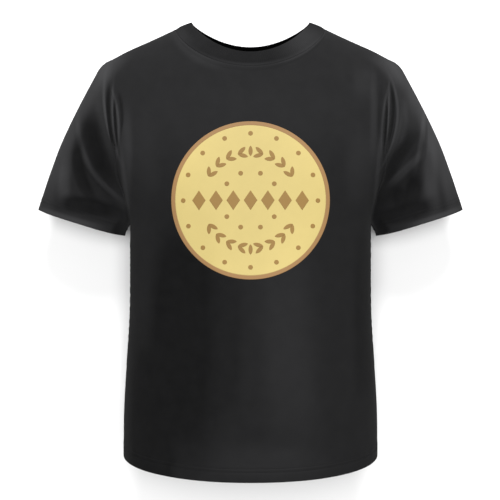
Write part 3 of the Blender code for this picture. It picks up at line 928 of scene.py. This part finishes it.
def print_ink(tree, shader, colour):
    """Plastisol ink, screen-printed and pressed flat: a soft satin film, in which the knit still
    shows as a fine grain and the colour is slightly uneven. Painted shade darkens it most at the
    top of the print and least at its bottom and sides, against the lamps' light."""
    painted_shade_colour = (*(np.array(colour[:3]) * INK_IN_PAINTED_SHADE), 1.0)
    place = add_node(tree, "TexCoord", {})["Object"]
    film = {"Vector": place, "Scale": 1000 / INK_CLOUD, "Detail": 4.0, "Roughness": 0.65}
    cloud = add_node(tree, "TexNoise", film)["Fac"]
    grain = {"Vector": place, "Scale": 1000 / INK_GRAIN, "Detail": 2.0}
    grain = add_node(tree, "TexNoise", grain)["Fac"]
    painted_shade_share = add_node(tree, "Attribute", {}, attribute_name="wear")["Fac"]
    share = {0: cloud, 1: INK_CLOUDINESS, 2: painted_shade_share}
    share = add_node(tree, "Math", share, operation="MULTIPLY_ADD", use_clamp=True)[0]
    mixed = add_node(tree, "Mix", {0: share, 6: colour, 7: painted_shade_colour}, data_type="RGBA")[2]
    knit = add_node(tree, "Bump", {"Height": grain, "Strength": 0.35, "Distance": 0.0001})
    looks = {"Base Color": mixed, "Normal": knit["Normal"], "Roughness": 0.7}
    feed(tree, shader, looks | {"Specular IOR Level": 0.25})


def background_paper(tree, shader, colour):
    """Uncoated background paper: matt, so that the shadows on it stay soft."""
    feed(tree, shader, {"Base Color": colour, "Roughness": 0.9})


def materials():
    """The materials by name, made once and then reused by every operator."""
    colours = bpy.context.scene.shirt_colours
    jersey = (cotton_jersey, colours.jersey, colours.painted_highlight_colour, sizes().wale)
    makers = {
        "Black cotton jersey": jersey,
        "Black cotton rib": jersey,
        "Spun polyester thread": (sewing_thread, colours.thread),
        "Cream plastisol ink": (print_ink, colours.cream),
        "Brown plastisol ink": (print_ink, colours.brown),
        "Motif plastisol ink": (print_ink, colours.motif),
        "Matt white paper": (background_paper, colours.floor),
    }
    for name, (maker, *looks) in makers.items():
        if name not in bpy.data.materials:
            made = bpy.data.materials.new(name)
            made.use_nodes = True
            maker(made.node_tree, made.node_tree.nodes["Principled BSDF"], *looks)
    return bpy.data.materials


class SHIRT_OT_panels(bpy.types.Operator):
    """Make the front and back panels, with their hems turned up"""

    bl_idname = "shirt.panels"
    bl_label = "Front and back"

    def execute(self, context):
        for side, rests_on in (("front", ["back_panel"]), ("back", [])):
            cloth = panel_cloth(side)
            piece = hemmed_piece(f"{side}_cloth", cloth, f"{side}_panel", closed=False)
        return {"FINISHED"}


class SHIRT_OT_sleeves(bpy.types.Operator):
    """Make both sleeves, with their hems turned up"""

    bl_idname = "shirt.sleeves"
    bl_label = "Sleeves"

    def execute(self, context):
        for name, hand in (("right", 1), ("left", -1)):
            cloth = sleeve_cloth(hand)
            piece = hemmed_piece(f"{name}_sleeve_cloth", cloth, f"sleeve_{name}", closed=True)
        return {"FINISHED"}


class SHIRT_OT_collar(bpy.types.Operator):
    """Make the ribbed collar, folded double"""

    bl_idname = "shirt.collar"
    bl_label = "Collar"

    def execute(self, context):
        edge = collar_points(np.ones(COLLAR_MEASURE), np.linspace(0, 1, COLLAR_MEASURE))
        around = lengths(edge[None], 1)[0, -1]
        ribs = int(around / sizes().rib)
        turn = np.linspace(0, 1, ribs * COLLAR_RIB_COLUMNS + 1)
        # Up the band's outer layer, round its folded edge and down its inner layer.
        flat = np.linspace(0, 1 - COLLAR_HALF / COLLAR_WIDTH, COLLAR_ROWS)
        bend = np.linspace(np.pi / 2, -np.pi / 2, COLLAR_BEND_ROWS + 2)[1:-1]
        past = COLLAR_HALF * np.cos(bend) / COLLAR_WIDTH
        w = np.concatenate([flat, flat[-1] + past, flat[::-1]])
        rise = (1 + COLLAR_SUNK) * smooth_step(*COLLAR_RISE, flat) - COLLAR_SUNK
        lift = COLLAR_HALF * np.concatenate([rise, np.sin(bend), rise[::-1] - 2])
        side = np.concatenate([np.ones_like(flat), np.sin(bend), -np.ones_like(flat)])[:, None]
        grid_turn, grid_w = np.meshgrid(turn, w)
        base = collar_points(*np.meshgrid(np.linspace(0, 1, 5), turn, indexing="ij"))
        up = normals_of(base, closed=True)[2]
        up = up[None] * np.sign(up[0, 2])
        # Real ribs are about half as wide and wouldn't show, so these are drawn coarser.
        rib = RIB_HEIGHT * np.cos(2 * np.pi * ribs * turn)
        height = (lift + COLLAR_DOME * np.sin(np.pi * w))[:, None] + side * rib
        points = collar_points(grid_w, grid_turn) + up * height[..., None]
        uv = np.stack([around * grid_turn, COLLAR_WIDTH * grid_w], axis=-1)
        # The inner layer gets the deepest painted shade, the outside the collar's painted
        # highlights and painted shade.
        wear = np.where(side < 0, DEEPEST_PAINTED_SHADE, collar_painted_shading(grid_w, grid_turn))
        outward = up * side[..., None]
        piece = grids_piece("collar_rib", points, outward, uv, wear, closed=True)
        finish_piece(thicken(piece, sizes().cloth), "Black cotton rib", "collar")
        return {"FINISHED"}


class SHIRT_OT_sewing(bpy.types.Operator):
    """Make the stitching of the hems and the overlocked edges inside the seams"""

    bl_idname = "shirt.sewing"
    bl_label = "Seams and stitches"

    def execute(self, context):
        front = panel_cloth("front")
        stitches_piece("hem_stitches", (front, panel_cloth("back")))
        for name, hand in (("right", 1), ("left", -1)):
            sleeve = sleeve_cloth(hand)
            stitches_piece(f"{name}_sleeve_stitches", (sleeve,))
            welt_piece(f"{name}_armhole_welt", sleeve.points[-1], looped=True)
            side = front.points[panel_rows() <= ARMPIT_V, -1 if hand > 0 else 0]
            welt_piece(f"{name}_side_welt", side, looped=False)
        return {"FINISHED"}


def print_film(name, places, lift, material, slot, node=None, closed=False):
    """A film of ink on the front panel over places of the print, as shares of its radius."""
    (across, along), ink = places, sizes().ink
    x, y = across * PRINT_RADIUS[0], along * PRINT_RADIUS[1] + PRINT_MIDDLE
    points = np.stack([x, y, front_z(x, y) + lift * ink], axis=-1)
    # Painted shade on the ink: more towards the top, less towards the bottom and sides.
    wear = INK_PAINTED_SHADE + INK_PAINTED_SHADE_AT_TOP * along + INK_PAINTED_SHADE_AT_SIDES * across**2
    piece = grids_piece(name, points, (0.0, 0.0, 1.0), wear=wear, closed=closed)
    return finish_piece(thicken(piece, ink), material, node)


def steps_to_edge(cells, edge):
    """Even steps from -1 to 1, apart from a narrow first and last one, so that the rounding of a
    film's edge stays close to it."""
    return np.concatenate([[-1], np.linspace(edge - 1, 1 - edge, cells - 1), [1]])


def round_grid(cells, edge):
    """A unit disc as a square grid pushed out to a circle, with no pole in its middle."""
    steps = steps_to_edge(cells, edge)
    a, b = np.meshgrid(steps, steps)
    return a * np.sqrt(1 - b * b / 2), b * np.sqrt(1 - a * a / 2)


def set_round(shape, scales, places, turns):
    """Copies of a small shape, scaled, turned and set at places of the print."""
    cos, sin = np.cos(turns)[:, None, None], np.sin(turns)[:, None, None]
    a, b = shape[0] * scales[0], shape[1] * scales[1]
    x, y = places[:, 0, None, None], places[:, 1, None, None]
    return x + a * cos - b * sin, y + a * sin + b * cos


def ring_places(degrees, radius):
    """Places on a circle of a radius, at angles counted from the right."""
    angle = np.radians(degrees)
    return np.stack([radius * np.cos(angle), radius * np.sin(angle)], axis=1)


def dots():
    """Sixteen dots on a circle near the rim, and four above and four below the row of lozenges,
    each four on a flat arc."""
    inner = np.array([35, 70, 110, 145])
    outer = ring_places(np.linspace(90, 450, 17)[:-1], DOT_RINGS[0])
    inner = ring_places(np.concatenate([inner, -inner]), DOT_RINGS[1])
    places = np.concatenate([outer, inner])
    dot = round_grid(cells=6, edge=0.12)
    return set_round(dot, DOT_SIZE, places, np.zeros(len(places)))


def grains():
    """Grains as in four ears that follow a circle, each of pairs that lean away from its line,
    and one that stands upright between two ears. A grain is pointed at both ends: its half
    breadth is a power of what is left of 1 when the square of its length is taken away."""
    upper = np.array([150, 135, 120, 105])
    steps = np.concatenate([upper, 180 - upper, -upper, upper - 180])
    ahead = np.repeat([-90, 90, 90, -90], len(upper)) + steps
    lean = 30
    degrees = np.concatenate([ahead + lean, ahead - lean])
    places = np.tile(ring_places(steps, EAR_RING), (2, 1)) + ring_places(degrees, EAR_HALF)
    places = np.concatenate([places, ring_places(np.array([90, -90]), UPRIGHT_RING)])
    along, across = np.meshgrid(np.linspace(-1, 1, 13), steps_to_edge(cells=6, edge=0.15))
    grain = (along, across * (1 - along**2) ** 0.75)
    turns = np.radians(np.concatenate([degrees, [90, -90]]))
    return set_round(grain, GRAIN_SIZE, places, turns)


def lozenges():
    """Seven lozenges in a row across the middle: squares standing on a corner, drawn out."""
    steps = steps_to_edge(cells=6, edge=0.06)
    p, q = np.meshgrid(steps, steps)
    row = np.linspace(-LOZENGE_ROW, LOZENGE_ROW, 7)
    places = np.stack([row, 0 * row], axis=1)
    return set_round(((p + q) / 2, (p - q) / 2), LOZENGE_SIZE, places, 0 * row)


class SHIRT_OT_print(bpy.types.Operator):
    """Make the round print: a cream field, a brown rim, rings of dots, grains and lozenges"""

    bl_idname = "shirt.print"
    bl_label = "Print"

    def execute(self, context):
        inner = 1 - sizes().rim / PRINT_RADIUS[0]
        a, b = round_grid(cells=72, edge=0.008)
        names = ("Cream plastisol ink", "cream_ink", "print_field")
        print_film("print_cream", (a * inner, b * inner), FILM_LIFTS["field"], *names)
        across = inner + (1 - inner) * (1 + steps_to_edge(cells=4, edge=0.2)) / 2
        angle, share = np.meshgrid(np.linspace(0, 2 * np.pi, RIM_ROUND), across)
        ring = (share * np.cos(angle), share * np.sin(angle))
        names = ("Brown plastisol ink", "brown_ink", "print_rim")
        print_film("print_edge", ring, FILM_LIFTS["rim"], *names, closed=True)
        names = ("Motif plastisol ink", "brown_ink")
        for name, motif in (("dots", dots), ("grains", grains), ("lozenges", lozenges)):
            print_film(f"print_{name}", motif(), FILM_LIFTS["motifs"], *names)
        return {"FINISHED"}


class SHIRT_OT_stage(bpy.types.Operator):
    """Make the floor, the studio lights and the camera that looks down on the shirt"""

    bl_idname = "shirt.stage"
    bl_label = "Stage"

    def execute(self, context):
        scene = context.scene
        scene.view_settings.view_transform = "Standard"
        mesh = bpy.data.meshes.new("floor")
        corners = [(-1, -1), (1, -1), (1, 1), (-1, 1)]
        corners = [(x * FLOOR_REACH, y * FLOOR_REACH, FLOOR_Z) for x, y in corners]
        mesh.from_pydata(corners, [], [(0, 1, 2, 3)])
        mesh.materials.append(materials()["Matt white paper"])
        link_object("floor", mesh)
        scene.world = bpy.data.worlds.new("studio")
        scene.world.use_nodes = True
        room = scene.world.node_tree
        light = {"Color": (1, 1, 1, 1), "Strength": ROOM_LIGHT}
        feed(room, room.nodes["Background"], light)
        for name, (place, width, watts) in SOFTBOXES.items():
            data = bpy.data.lights.new(name, "AREA")
            data.shape = "DISK"
            data.size = width
            data.energy = watts
            lamp = link_object(name, data)
            lamp.location = place
            aim = Vector(SOFTBOX_AIM) - Vector(place)
            lamp.rotation_euler = aim.to_track_quat("-Z", "Y").to_euler()
        scene.camera = link_object("camera", bpy.data.cameras.new("camera"))
        scene.camera.data.lens = CAMERA_LENS
        scene.camera.location = CAMERA_PLACE
        return {"FINISHED"}


class SHIRT_PT_sidebar(bpy.types.Panel):
    """Lists the sizes, the colours and the operators in the order in which they run."""

    bl_label = "T-shirt"
    bl_idname = "SHIRT_PT_sidebar"
    bl_space_type = "VIEW_3D"
    bl_region_type = "UI"
    bl_category = "T-shirt"

    def draw(self, context):
        for group in (context.scene.shirt_sizes, context.scene.shirt_colours):
            box = self.layout.box()
            for name in group.__annotations__:
                box.prop(group, name)
        for operator in OPERATORS:
            self.layout.operator(operator.bl_idname)


OPERATORS = (
    SHIRT_OT_panels,
    SHIRT_OT_sleeves,
    SHIRT_OT_collar,
    SHIRT_OT_sewing,
    SHIRT_OT_print,
    SHIRT_OT_stage,
)
CLASSES = (ShirtSizes, ShirtColours, *OPERATORS, SHIRT_PT_sidebar)


def register():
    for item in CLASSES:
        bpy.utils.register_class(item)
    bpy.types.Scene.shirt_sizes = bpy.props.PointerProperty(type=ShirtSizes)
    bpy.types.Scene.shirt_colours = bpy.props.PointerProperty(type=ShirtColours)


def unregister():
    del bpy.types.Scene.shirt_colours
    del bpy.types.Scene.shirt_sizes
    for item in reversed(CLASSES):
        bpy.utils.unregister_class(item)


def main():
    """Registers the add-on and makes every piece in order."""
    register()
    bpy.ops.shirt.panels()
    bpy.ops.shirt.sleeves()
    bpy.ops.shirt.collar()
    bpy.ops.shirt.sewing()
    bpy.ops.shirt.print()
    bpy.ops.shirt.stage()


if __name__ == "__main__":
    main()
